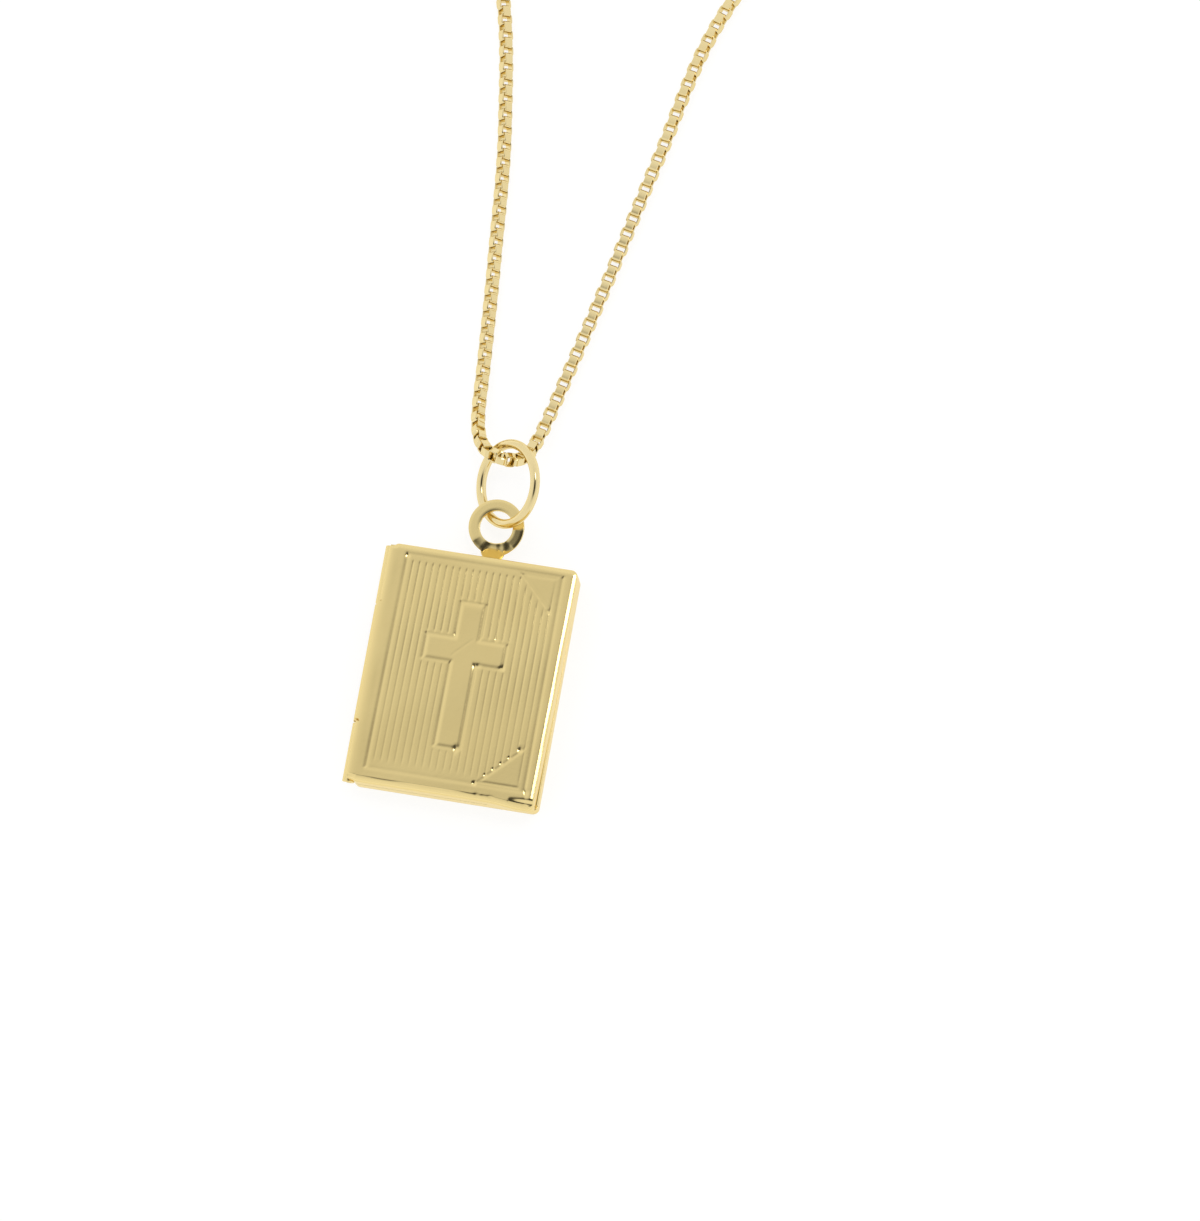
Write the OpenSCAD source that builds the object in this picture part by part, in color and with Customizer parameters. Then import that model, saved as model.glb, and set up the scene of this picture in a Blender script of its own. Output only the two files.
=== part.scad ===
// Book-shaped cross locket with its jump ring, box chain and clasp, lying on its back cover

/* [Covers] */
// Width of the front cover
cover_w = 15.35; // [15:0.05:15.5]
// Distance from the origin to the covers' hinge side
hinge_side = 7.6; // [7.5:0.05:7.8]
// Length of both covers, along the upright of the cross
cover_l = 20; // [19.6:0.1:21.5]
// Thickness of the closed locket
locket_t = 3.6; // [3.4:0.1:4.2]
// Thickness of the pressed sheet
sheet_t = 0.35; // [0.3:0.05:0.4]
// Gap between the two rims when the locket is closed
rim_gap = 0.06; // [0.04:0.02:0.1]
// Radius of the corners, seen from the front
corner_r = 0.55; // [0.52:0.01:0.7]
// Rounding where a face turns into its side walls
shoulder_r = 0.5; // [0.4:0.02:0.5]
// How far the back cover reaches past the front cover, as a ledge for a fingernail
catch_lip = 0.1; // [0:0.05:0.3]
// Thickness of the back cover's wall on that side, where its rim is hemmed
catch_wall = 0.6; // [0.35:0.05:0.7]

/* [Pressed relief] */
// Width of the sunk panel
panel_w = 13.1; // [12.8:0.1:13.2]
// Length of the sunk panel
panel_l = 18.1; // [17.8:0.1:18.2]
// How far the panel sits above the middle, so that the lower border is the wider one
panel_up = 0.25; // [0:0.05:0.3]
// Sideways place of the panel
panel_x = 0.24; // [0:0.02:0.3]
// Depth of the panel and of the grooves between its ribs
relief_d = 0.12; // [0.08:0.02:0.16]
// Number of ribs across the panel
rib_count = 23; // [17:1:27]
// How far the tops of the ribs stay below the border
rib_low = 0.03; // [0.02:0.01:0.06]
// Plain strip between the panel's ends and the ends of the ribs
rib_end = 0.45; // [0.3:0.05:0.8]
// Width of the groove that frames the panel
frame_groove = 0.22; // [0.16:0.02:0.26]

/* [Cross] */
// Length of the cross
cross_l = 12.15; // [10:0.05:14]
// Length of the crossbar
crossbar_l = 6.75; // [5:0.05:8]
// Width of the cross's arms
arm_w = 2.1; // [1.6:0.1:2.4]
// Height of the cross's foot above the middle of the cover
cross_foot_y = -6.15; // [-7:0.05:-5]
// Height of the crossbar's middle above the middle of the cover
crossbar_y = 1.95; // [1:0.05:3]
// Sideways place of the cross
cross_x = -0.11; // [-0.4:0.01:0.4]
// Legs of the plain triangle at the upper corner
upper_tri = 2.75; // [2:0.05:4]
// Legs of the plain triangle at the lower corner
lower_tri = 3.45; // [2:0.05:4.5]

/* [Hinge] */
// Outer diameter of the rolled knuckles
knuckle_d = 1; // [0.9:0.05:1]
// Diameter of the hinge pin
pin_d = 0.44; // [0.36:0.02:0.5]
// How far the pin's axis lies outside the covers
axis_out = 0.3; // [0.28:0.01:0.35]
// Gap between one knuckle and the next
knuckle_gap = 0.1; // [0.06:0.02:0.16]

/* [Tab] */
// Outer diameter of the tab's ring
tab_d = 4.6; // [4.5:0.05:4.7]
// Hole in the tab
tab_hole_d = 2.75; // [2.75:0.05:2.9]
// Thickness of the tab's sheet
tab_t = 0.4; // [0.35:0.01:0.4]
// Width of the tab's stem
tab_stem_w = 1.3; // [1.1:0.1:1.6]
// Distance of the tab's ring from the covers' upper edge, to its centre
tab_up = 2.95; // [2.9:0.05:3.05]
// Sideways place of the tab
tab_x = 0.3; // [0:0.05:0.4]

/* [Jump ring] */
// Outer diameter of the jump ring
ring_d = 7.4; // [7.2:0.1:7.5]
// Wire of the jump ring
ring_wire = 0.8; // [0.7:0.05:0.8]
// Lean of the jump ring, its right side up
ring_tilt = 41.5; // [41:0.5:42]
// Turn of the jump ring on the surface
ring_turn = 15; // [14.5:0.5:15.5]

/* [Chain] */
// Width of the box chain
chain_w = 1.1; // [1:0.05:1.15]
// Wire of the clasp's ring
clasp_wire = 1.2; // [1:0.1:1.3]
// Outer diameter of the clasp's ring
clasp_d = 6; // [5:0.1:6.2]

/* [Hidden] */
$fn = 48;
gold = [0.85, 0.74, 0.45];
gold_deep = [0.80, 0.66, 0.36];

rim_z = locket_t / 2;
half_t = rim_z - rim_gap / 2;
left_x = -hinge_side;
back_w = cover_w + catch_lip;
top_y = cover_l / 2;
axis_x = left_x - axis_out;
end_knuckle_l = cover_l / 4;
notch_d = knuckle_d + 0.4;
past = 1;
pin_slack_moving = 0.06;
pin_slack_fixed = 0.02;
pin_end = 0.05;
rib_pitch = panel_w / rib_count;
rib_l = panel_l - 2 * rib_end;
crest_share = 0.3;
rib_knee = 0.22;
rib_knee_h = 0.75;
tri_inset = rib_pitch;
plate_lap = 0.04;
tab_fillet = 0.5;
ring_x = 0.75;
ring_y = 16.46;
ring_clear = 0.02;
clasp_x = 4.5;
clasp_eye_d = 2.2;
clasp_eye_wire = 0.5;
clasp_eye_lap = 0.1;

// Route of the chain's middle line, from the clasp round to the clasp again
route = [
  [-0.5, 194, 0.6], [-17.5, 191, 0.6], [-33, 183, 0.6], [-45, 170, 0.6], [-52, 154, 0.6],
  [-53.5, 135, 0.6], [-49, 116, 0.6], [-38.5, 99, 0.6], [-25.5, 85.5, 0.6], [-14.5, 73, 0.6],
  [-8, 59.5, 0.6], [-5.3, 47, 0.6], [-4.1, 35.5, 0.6], [-3.4, 27, 0.6], [-3.1, 22.9, 0.75],
  [-2.7, 20.9, 1.35], [-2, 19.5, 2.3], [-1.05, 18.7, 3], [0.1, 18.4, 3.05],
  [1.1, 18.6, 2.55], [1.75, 19.3, 1.85], [2.2, 20.5, 1.2], [2.65, 22.3, 0.75],
  [3.45, 25.7, 0.6], [5.45, 34.5, 0.6], [7.9, 46, 0.6], [10.9, 58.5, 0.6],
  [18, 72, 0.6], [29.5, 84.5, 0.6], [43.5, 97.5, 0.6], [55, 114, 0.6], [60.5, 133, 0.6],
  [60, 152, 0.6], [53, 169, 0.6], [41.5, 182, 0.6], [26.5, 190.5, 0.6], [9.5, 194, 0.6]
];
rings_per_leg = 2;
chain_sides = 8;

// The vector of length one along v
function unit(v) = v / norm(v);

// A smooth curve through the route's points: t counts the legs
function route_end(i) =
  i < 0 ? 2 * route[0] - route[1]
  : i >= len(route) ? 2 * route[len(route) - 1] - route[len(route) - 2]
  : route[i];
function route_at(t) =
  let (
    i = min(floor(t), len(route) - 2), f = t - i,
    a = route_end(i - 1), b = route_end(i), c = route_end(i + 1), d = route_end(i + 2)
  )
  0.5 * (2 * b + (c - a) * f + (2 * a - 5 * b + 4 * c - d) * f * f + (3 * b - a - 3 * c + d) * f * f * f);
function route_dir(t) =
  let (step = 0.01, last = len(route) - 1)
  unit(route_at(min(t + step, last)) - route_at(max(t - step, 0)));

// One ring of the chain's tube, upright across its run
function tube_ring(t) =
  let (
    p = route_at(t), run = route_dir(t),
    side = unit(cross(run, [0, 0, 1])), up = cross(side, run), r = chain_w / 2 / cos(180 / chain_sides)
  )
  [for (k = [0 : chain_sides - 1])
    let (a = 360 * (k + 0.5) / chain_sides) p + r * (cos(a) * side + sin(a) * up)];

// Half of a cover's outline across, its upper edge rounded, from the rim at 0 to the face
module rounded_wall(half_w) {
  square([half_w, half_t - shoulder_r]);
  square([half_w - shoulder_r, half_t]);
  translate([half_w - shoulder_r, half_t - shoulder_r]) intersection() {
    circle(shoulder_r);
    square(shoulder_r);
  }
}

// A closed block with the outer form of one cover: rim at 0, face up, the middle at the origin
module cover_block(w) {
  rotate([90, 0, 0])
    linear_extrude(cover_l - 2 * corner_r, center = true) {
      rounded_wall(w / 2);
      mirror([1, 0]) rounded_wall(w / 2);
    }
  rotate([90, 0, 90])
    linear_extrude(w - 2 * corner_r, center = true) {
      rounded_wall(cover_l / 2);
      mirror([1, 0]) rounded_wall(cover_l / 2);
    }
  for (sx = [-1, 1], sy = [-1, 1])
    translate([sx * (w / 2 - corner_r), sy * (cover_l / 2 - corner_r), 0])
      rotate_extrude() rounded_wall(corner_r);
}

// The inside of a cover: a plain tray, open at the rim; hem is what the catch side's wall has extra
module cover_hollow(w, hem) {
  deep = half_t - sheet_t - relief_d;
  inner_r = corner_r - sheet_t;
  inside_w = w - hem;
  translate([-hem / 2, 0, -past])
    linear_extrude(deep + past) {
      square([inside_w - 2 * sheet_t, cover_l - 2 * corner_r], center = true);
      square([inside_w - 2 * corner_r, cover_l - 2 * sheet_t], center = true);
      for (sx = [-1, 1], sy = [-1, 1])
        translate([sx * (inside_w / 2 - corner_r), sy * (cover_l / 2 - corner_r)]) circle(inner_r);
    }
}

// Outline of the ribs across the panel: a flat-topped ridge and a groove for each pitch
function rib_outline() = concat(
  [[-panel_w / 2, -2 * relief_d]],
  [for (i = [0 : rib_count - 1], c = [[0, 0], [rib_knee, rib_knee_h], [0.5 - crest_share / 2, 1],
                                      [0.5 + crest_share / 2, 1], [1 - rib_knee, rib_knee_h]])
    [-panel_w / 2 + (i + c[0]) * rib_pitch, c[1] * (relief_d - rib_low)]],
  [[panel_w / 2, 0], [panel_w / 2, -2 * relief_d]]
);

// The sunk panel, cut out of the face
module panel_cut() {
  translate([panel_x, panel_up, half_t + past - relief_d / 2])
    cube([panel_w, panel_l, 2 * past + relief_d], center = true);
}

// The ribs that stand on the panel's floor, and the plain strips that join their ends
module ribs() {
  rib_h = relief_d - rib_low;
  strip_l = rib_end - frame_groove + plate_lap;
  translate([panel_x, panel_up, half_t - relief_d]) {
    rotate([90, 0, 0]) linear_extrude(rib_l, center = true) polygon(rib_outline());
    for (s = [-1, 1])
      translate([0, s * (panel_l / 2 - frame_groove - strip_l / 2), rib_h / 2])
        cube([panel_w - 2 * frame_groove, strip_l, rib_h], center = true);
  }
}

// A raised flat plate on the panel, level with the border
module plate() {
  translate([0, 0, half_t - relief_d - plate_lap]) linear_extrude(relief_d + plate_lap) children();
}

// The Latin cross and the two plain corner triangles
module raised_figures() {
  plate() {
    translate([cross_x - arm_w / 2, cross_foot_y]) square([arm_w, cross_l]);
    translate([cross_x - crossbar_l / 2, crossbar_y - arm_w / 2]) square([crossbar_l, arm_w]);
  }
  tri_x = panel_x + panel_w / 2 - tri_inset;
  tri_top = panel_up + panel_l / 2 - tri_inset / 2;
  tri_low = panel_up - panel_l / 2 + tri_inset / 2;
  plate() polygon([[tri_x, tri_top], [tri_x - upper_tri, tri_top], [tri_x, tri_top - upper_tri]]);
  plate() polygon([[tri_x, tri_low], [tri_x - lower_tri, tri_low], [tri_x, tri_low + lower_tri]]);
}

// Section of a knuckle and the tongue of sheet that rolls into it, in the cover's own half
module knuckle_section() {
  shoulder = [left_x + shoulder_r, half_t - shoulder_r];
  pin = [axis_x, -rim_gap / 2];
  lean = unit([pin[1] - shoulder[1], shoulder[0] - pin[0]]);
  translate(pin) circle(knuckle_d / 2);
  polygon([
    shoulder, shoulder + lean * shoulder_r, pin + lean * knuckle_d / 2, pin,
    [pin[0], -rim_gap / 2], [pin[0] + knuckle_d / 2, 0], [left_x + sheet_t, 0], [left_x + sheet_t, shoulder[1]]
  ]);
}

// Length and place of the n-th of the hinge's three stretches, from the top: the middle one is the longest
function stretch_l(n) = n == 2 ? cover_l - 2 * end_knuckle_l : end_knuckle_l;
function stretch_y(n) = (2 - n) * (cover_l - end_knuckle_l) / 2;

// One knuckle, in the n-th stretch
module knuckle(n) {
  translate([0, stretch_y(n), 0])
    rotate([90, 0, 0]) linear_extrude(stretch_l(n) - knuckle_gap, center = true) knuckle_section();
}

// Room for the other cover's knuckle, in the n-th stretch
module knuckle_notch(n) {
  translate([axis_x, stretch_y(n), -rim_gap / 2])
    rotate([90, 0, 0]) cylinder(h = stretch_l(n) + knuckle_gap, d = notch_d, center = true);
}

// The hole for the pin, through every knuckle of one cover
module pin_bore(slack) {
  translate([axis_x, 0, -rim_gap / 2])
    rotate([90, 0, 0]) cylinder(h = cover_l + 2 * past, d = pin_d + slack, center = true);
}

// One cover, rim at 0 and face up: own is the list of its knuckles, other those of its partner
module cover(w, hem, own, other, slack) {
  shift = w / 2 - hinge_side;
  difference() {
    union() {
      difference() {
        translate([shift, 0, 0]) cover_block(w);
        panel_cut();
        translate([shift, 0, 0]) cover_hollow(w, hem);
        for (n = other) knuckle_notch(n);
      }
      ribs();
      children();
      for (n = own) knuckle(n);
    }
    pin_bore(slack);
  }
}

module front_cover() {
  color(gold)
    translate([0, 0, rim_z + rim_gap / 2])
      cover(cover_w, 0, [2], [1, 3], pin_slack_moving) raised_figures();
}

// The flat tab with its ring, soldered to the back cover's upper wall, just under the rim
module tab() {
  eye_y = top_y + tab_up;
  root_y = top_y - sheet_t / 2;
  // Middle of the fillet that touches both the stem's side and the ring, and its touching point on the ring
  fillet_x = tab_stem_w / 2 + tab_fillet;
  fillet_y = eye_y - sqrt(pow(tab_d / 2 + tab_fillet, 2) - pow(fillet_x, 2));
  touch = [0, eye_y] + unit([fillet_x, fillet_y - eye_y]) * tab_d / 2;
  translate([tab_x, 0, rim_z - rim_gap / 2 - tab_t])
    linear_extrude(tab_t) difference() {
      union() {
        translate([0, eye_y]) circle(d = tab_d);
        translate([-tab_stem_w / 2, root_y]) square([tab_stem_w, touch[1] - root_y]);
        for (s = [-1, 1])
          difference() {
            polygon([[0, fillet_y], [s * fillet_x, fillet_y], [s * touch[0], touch[1]], [0, touch[1]]]);
            translate([s * fillet_x, fillet_y]) circle(tab_fillet);
          }
      }
      translate([0, eye_y]) circle(d = tab_hole_d);
    }
}

module back_cover() {
  color(gold) {
    translate([0, 0, rim_z - rim_gap / 2]) mirror([0, 0, 1])
      cover(back_w, catch_wall - sheet_t, [1, 3], [2], pin_slack_fixed);
    tab();
  }
}

module hinge_pin() {
  color(gold_deep)
    translate([axis_x, 0, rim_z])
      rotate([90, 0, 0]) cylinder(h = cover_l - 2 * pin_end, d = pin_d, center = true);
}

module jump_ring() {
  mid_r = (ring_d - ring_wire) / 2;
  color(gold)
    translate([ring_x, ring_y, mid_r * sin(ring_tilt) + ring_wire / 2 + ring_clear])
      rotate([0, 0, ring_turn]) rotate([0, -ring_tilt, 0])
        rotate_extrude() translate([mid_r, 0]) circle(d = ring_wire);
}

// The whole chain as one tube: its links are too fine and too many for solids of their own
module chain() {
  count = (len(route) - 1) * rings_per_leg + 1;
  points = [for (i = [0 : count - 1]) each tube_ring(i / rings_per_leg)];
  sides = [
    for (i = [0 : count - 2], k = [0 : chain_sides - 1])
      let (a = i * chain_sides, n = (k + 1) % chain_sides)
      [a + k, a + n, a + n + chain_sides, a + k + chain_sides]
  ];
  start_cap = [for (k = [chain_sides - 1 : -1 : 0]) k];
  end_cap = [for (k = [0 : chain_sides - 1]) (count - 1) * chain_sides + k];
  color(gold_deep) polyhedron(points, concat([start_cap, end_cap], sides));
}

// A plain closed clasp: a ring with a small eye on each side for the chain's ends
module clasp() {
  mid_r = (clasp_d - clasp_wire) / 2;
  eye_r = (clasp_eye_d - clasp_eye_wire) / 2;
  eye_x = mid_r + clasp_wire / 2 + eye_r - clasp_eye_lap;
  color(gold)
    translate([clasp_x, route[0][1], clasp_wire / 2]) {
      rotate_extrude() translate([mid_r, 0]) circle(d = clasp_wire);
      for (s = [-1, 1])
        translate([s * eye_x, 0, 0]) rotate_extrude() translate([eye_r, 0]) circle(d = clasp_eye_wire);
    }
}

back_cover();
front_cover();
hinge_pin();
jump_ring();
chain();
clasp();
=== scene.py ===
"""Cross locket on a box chain: the looks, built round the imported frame."""

from math import atan2, ceil, cos, hypot, pi, radians, sin, sqrt, tan

import bpy
import numpy as np
from mathutils import Matrix, Vector


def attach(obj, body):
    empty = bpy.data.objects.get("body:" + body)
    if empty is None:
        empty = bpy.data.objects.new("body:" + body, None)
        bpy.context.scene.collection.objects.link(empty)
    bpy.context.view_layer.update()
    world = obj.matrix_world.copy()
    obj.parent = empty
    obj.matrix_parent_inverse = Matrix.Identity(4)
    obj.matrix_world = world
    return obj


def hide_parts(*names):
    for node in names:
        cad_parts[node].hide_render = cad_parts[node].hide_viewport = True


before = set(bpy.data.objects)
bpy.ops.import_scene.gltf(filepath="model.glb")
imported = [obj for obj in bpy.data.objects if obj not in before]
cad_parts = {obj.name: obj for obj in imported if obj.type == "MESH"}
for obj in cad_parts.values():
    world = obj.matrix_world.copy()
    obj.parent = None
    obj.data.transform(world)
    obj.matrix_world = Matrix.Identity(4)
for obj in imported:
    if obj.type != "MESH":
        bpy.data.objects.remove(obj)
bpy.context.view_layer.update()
bpy.ops.object.select_all(action="DESELECT")

# All sizes are in millimetres, in the frame of the solids, and are scaled once when a piece is finished.
MM = 0.001

# Camera: a long lens, a little below and to the right of the locket
LENS, SENSOR = 215.68, 36.0
CAMERA_AT = (90.63, -102.92, 584.25)
CAMERA_RIGHT, CAMERA_UP = (0.979126, 0.175648, -0.102274), (-0.152156, 0.967043, 0.204150)

# The light tent's opening lies behind the lens. Each pair is an angle from it and the tent's level there.
OPENING = (0.134762, -0.184327, 0.973582)
TENT = [(52, 1.0), (36, 0.92), (26.5, 0.8), (21, 0.52), (16.5, 0.17), (12, 0.06), (2, 0.05)]
TENT_FROM = 0.6

# The one bright softbox: its direction, half its size as an angle, and its radiance
BRIGHT_WAY, BRIGHT_ANGLE, BRIGHT_RADIANCE = (0.25, 0.25, 0.935), 6.0, 4.5
TABLE_GLOW = 0.82

# Gold stays warm where light only grazes it.
GRAZING_TINT = (1.0, 0.92, 0.68, 1.0)

# Covers: two pressed trays, rim to rim
LEFT, FRONT_RIGHT, BACK_RIGHT = -7.6, 7.8, 7.82
COVER_L = 20.0
HALF_T = 1.77
RIM_Z, RIM_GAP = 1.8, 0.06
SHEET = 0.35
CORNER_R, SHOULDER_R = 0.55, 0.5
PANEL_X = 0.24

# Hem of the back cover at the opening side, and how much shorter the wall that it closes is
HEM_W, HEM_HALF_L, HEM_LOW, HEM_INSET = 0.6, 9.46, 0.9, 0.01
HEM_DROP = 0.25

# Plain edge: a flat strip, then a bend whose start has its own smaller radius, and the turns of its points
STRIP, START_R, START_TURN = 0.05, 0.1, 20
EDGE_TURNS = [4, 12, 20, 33, 47, 61, 75, 90]

# Sloping edge: places out and down
SLOPE = [
    (0, 0), (0.1, 0.0005), (0.2, 0.003), (0.245, 0.0085), (0.275, 0.0145), (0.34, 0.0285), (0.4, 0.0412),
    (0.445, 0.051), (0.475, 0.0605), (0.505, 0.082), (0.53, 0.12), (0.545, 0.17), (0.55, 0.28), (0.55, 0.4),
]

# Front cover at the hinge, over its own knuckle and over its partner's: each step's length and slope down.
# Beside the top knuckle the lip reaches less far.
OWN_FOLD = [
    (0.2, 0), (0.19, 2), (0.18, 4), (0.13, 8), (0.1, 13), (0.08, 21), (0.07, 34), (0.06, 50), (0.05, 66),
    (0.05, 80), (0.08, 88), (0.13, 90), (0.2, 90), (0.22, 85), (0.2, 72), (0.17, 60), (0.16, 58), (0.13, 66),
]
LIP_FOLD = [
    (0.2, 0), (0.15, 1), (0.14, 2), (0.1, 4), (0.08, 7), (0.06, 11), (0.05, 18), (0.045, 28), (0.04, 40),
    (0.035, 52), (0.03, 64), (0.03, 74), (0.03, 82), (0.03, 86), (0.03, 88),
] + [(0.03, 90)] * 3
UPPER_LIP = 0.86

# Pressed relief. Its flanks slope by a few degrees only, and more at a few scoops.
PANEL_W, PANEL_L, PANEL_UP = 13.1, 18.1, 0.25
RIBS = 23
RIB_END = 0.45
PANEL_LOW = 0.008
VALLEY_D, VALLEY_HALF = 0.009, 0.11
RIB_CROWN = 0.0065
RIB_PLACES, RIB_STRENGTH = (-6, -4, -1.5, 1, 3.5, 7), (0.4, 0.45, 0.62, 0.88, 1.0, 1.06)
BACK_STRENGTH = 0.8
LINE_D, LINE_HALF = 0.019, 0.25

# How softly the valleys end: at the foot and the head of the panel, beside the triangles, and at the cross
FOOT_SOFT, HEAD_SOFT, LAST_HEAD_SOFT = 0.6, 0.28, 3.2
UPPER_SOFT, LOWER_SOFT, BELOW_SOFT, ABOVE_SOFT = 1.0, 0.14, 0.25, 0.15

# How far the valleys stay from the triangles, and from the cross below, above and beside it
TRI_GAP, BELOW_GAP, ABOVE_GAP, BESIDE_GAP = 0.1, 0.18, 0.16, 0.12

# Raised cross and the triangles in two corners
CROSS_X, CROSS_FOOT, CROSS_TOP = -0.35, -6.15, 6.0
BAR_Y, BAR_L, ARM_W = 1.95, 6.75, 2.1
CROSS_H, TRIANGLE_H = 0.012, 0.004
TRI_X, TRI_END, TRI_MARGIN = 5.96, 0.35, 0.15
UPPER_SLANT, LOWER_SLANT = 12.2, -11.2
TRI_LINE_D, TRI_LINE_HALF = 0.02, 0.18

# Crease on the cross: how far below its centre, half width and depth
CREASE_LOW, CREASE_HALF, CREASE_D = 0.55, 0.1, 0.004

# Scoops, where the pressed lines are deeper: place, radius and gain
FRONT_SCOOPS = [
    (0.82, 0.9, 0.22, 1.9), (2.85, 1.0, 0.25, 1.7), (-0.96, 6.1, 0.16, 0.9), (0.26, 6.0, 0.16, 1.2),
    (1.93, 3.2, 0.16, 1.2), (-3.8, 3.15, 0.2, 0.8),
]
BACK_SCOOPS = [(-5.0 + 1.7 * k, -8.8, 0.3, 1.6) for k in range(7)]

# Punched dots along the lower triangle: one alone, those at the ends of four ribs, and the last
DOT_AT, DOT_R, DOT_D = (2.38, -8.7), 0.26, 0.052
RIB_DOTS, RIB_DOT_R = range(17, 21), 0.17
LAST_DOT_X, LAST_DOT_R = 5.6, 0.26
DOT_SHARE, DOT_UP = 0.2, 0.16

# Small dents from handling: place, half width, half length and depth
DENTS = [
    (2.94, -9.62, 0.2, 0.12, 0.03), (3.5, -9.6, 0.22, 0.1, 0.012), (4.11, -9.63, 0.3, 0.12, 0.034),
    (6.98, -8.85, 0.18, 0.25, 0.04), (0.62, -6.17, 0.17, 0.3, 0.04), (-1.1, 3.22, 0.13, 0.13, 0.014),
    (-6.27, 9.1, 0.13, 0.13, 0.03), (2.3, 3.3, 0.13, 0.13, 0.022), (6.06, 6.25, 0.13, 0.13, 0.016),
    (1.2, 0.88, 0.16, 0.14, 0.024), (3.1, 1.02, 0.16, 0.14, 0.022),
]

# Hinge: the long middle knuckle is the front cover's, those at the ends are the back cover's
AXIS_X = -7.9
KNUCKLE_R, PIN_R, BORE_R = 0.5, 0.22, 0.25
KNUCKLE_GAP, SLIT_W, NOTCH = 0.1, 0.2, 0.7
SLITS = (-5.0, 5.0)
FRONT_KNUCKLES, BACK_KNUCKLES = (2,), (1, 3)
PIN_SHORT = 0.06

# Tab: a flat ring and its stem, which flares into the ring and is soldered a little way into the wall
TAB_Z = 1.57
TAB_X, TAB_Y, TAB_R, TAB_HOLE_R, TAB_T, STEM_W = 0.3, 12.95, 2.3, 1.375, 0.4, 1.3
STEM_FLARE, STEM_L, STEM_STEPS = 0.35, 0.84, 6
WALL_BITE = 0.12

# Where the ring and the stem start to bend below the ring's middle, and how much they and the right side drop
RING_BEND, STEM_BEND = 1.45, 1.2
RING_DROP, STEM_DROP, RIGHT_DROP = 0.2, 0.45, 0.17

# Jump ring, with the angle at which its wire starts and how far round it goes
RING_AT, RING_R, RING_WIRE_R, RING_TILT, RING_TURN = (0.75, 16.46), 3.3, 0.4, 41.5, 15.0
RING_START, RING_SPAN, RING_LIFT = 112.0, 359.3, 0.02

# Clasp: a ring and the eyes on its two sides
CLASP_AT, CLASP_R, CLASP_WIRE_R = (4.5, 194.0), 2.4, 0.6
EYE_R, EYE_WIRE_R, EYE_OVERLAP = 0.85, 0.25, 0.1

# Chain: its links, what stays free at the route's ends, how far off a link's run is measured, and the route
LINK_W, LINK_L, LINK_T, LINK_STRIP, LINK_PITCH = 1.06, 1.0, 0.15, 0.68, 0.685
CHAIN_ENDS, HALF_RUN = 0.6, 0.3
CHAIN_ROUTE = [
    (-0.5, 194, 0.6), (-17.5, 191, 0.6), (-33, 183, 0.6), (-45, 170, 0.6), (-52, 154, 0.6),
    (-53.5, 135, 0.6), (-49, 116, 0.6), (-38.5, 99, 0.6), (-25.5, 85.5, 0.6), (-14.5, 73, 0.6),
    (-8, 59.5, 0.6), (-5.3, 47, 0.6), (-4.1, 35.5, 0.6), (-3.4, 27, 0.6), (-3.1, 22.9, 0.75),
    (-2.7, 20.9, 1.35), (-2, 19.5, 2.3), (-1.05, 18.7, 3), (0.1, 18.4, 3.05),
    (1.1, 18.6, 2.55), (1.75, 19.3, 1.85), (2.2, 20.5, 1.2), (2.65, 22.3, 0.75),
    (3.45, 25.7, 0.6), (5.45, 34.5, 0.6), (7.9, 46, 0.6), (10.9, 58.5, 0.6),
    (18, 72, 0.6), (29.5, 84.5, 0.6), (43.5, 97.5, 0.6), (55, 114, 0.6), (60.5, 133, 0.6),
    (60, 152, 0.6), (53, 169, 0.6), (41.5, 182, 0.6), (26.5, 190.5, 0.6), (9.5, 194, 0.6),
]

# Roll of the chain in degrees, by the distance from its bend at the ring: left strand, then right strand
LEFT_ROLL = [0, 6, 30, 60, 90, 140], [45, 45, 45, 20, 0, 0]
RIGHT_ROLL = [0, 2.5, 4, 25, 45, 60, 140], [45, 20, 2, 0, 15, 45, 45]


# Camera, light and floor

def set_camera():
    """The lens, at the photograph's angle to the locket."""
    lens = bpy.data.cameras.new("long_lens")
    lens.lens = LENS
    lens.sensor_width = SENSOR
    lens.clip_start, lens.clip_end = 0.01, 10.0
    camera = bpy.data.objects.new("camera", lens)
    camera.location = Vector(CAMERA_AT) * MM
    camera.rotation_euler = Matrix((CAMERA_RIGHT, CAMERA_UP, OPENING)).transposed().to_euler()
    bpy.context.scene.collection.objects.link(camera)
    bpy.context.scene.camera = camera


def softbox(name, way, half_angle, radiance, distance=600.0):
    """A square soft light that faces the locket, in a direction from it, with its half size as an angle."""
    side = 2 * distance * MM * tan(radians(half_angle))
    light = bpy.data.lights.new(name, "AREA")
    light.shape = "SQUARE"
    light.size = side
    light.energy = radiance * pi * side ** 2
    lamp = bpy.data.objects.new(name, light)
    lamp.location = Vector(way).normalized() * distance * MM
    lamp.rotation_euler = Vector(way).to_track_quat("Z", "Y").to_euler()
    lamp.visible_camera = False
    bpy.context.scene.collection.objects.link(lamp)


def tent_place(angle):
    """Place on the tent's ramp for an angle from its opening."""
    return (cos(radians(angle)) - TENT_FROM) / (1 - TENT_FROM)


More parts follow.
